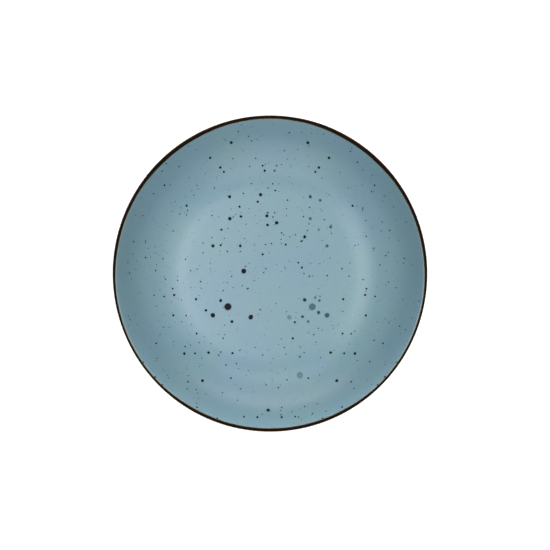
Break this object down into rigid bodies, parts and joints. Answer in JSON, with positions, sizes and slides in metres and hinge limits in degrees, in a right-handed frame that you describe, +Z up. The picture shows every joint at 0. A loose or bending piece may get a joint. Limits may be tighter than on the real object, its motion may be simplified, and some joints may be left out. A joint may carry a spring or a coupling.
{
  "type": "soup bowl",
  "caption": "Round coupe soup bowl in blue speckled stoneware, with a dark banded lip and a bare turned foot ring.",
  "frame": {"origin": "centre of the foot ring's land, on the surface that the bowl stands on", "axes": "+Z up along the bowl's turning axis; +X is to the right and +Y away from the viewer of the reference picture, which looks straight down"},
  "size_m": [0.22, 0.22, 0.05],
  "materials": {
    "clay": "matte",
    "blue_glaze": "satin",
    "rim_oxide": "satin",
    "iron_speck": "satin",
    "veiled_speck": "satin"
  },
  "bodies": {
    "root": {"clay_body": "clay", "inside_glaze": "blue_glaze", "outside_glaze": "blue_glaze", "foot_recess_glaze": "blue_glaze", "rim_band": "rim_oxide", "inside_specks": "iron_speck", "sunken_specks": "veiled_speck", "outside_specks": "iron_speck"}
  },
  "joints": []
}
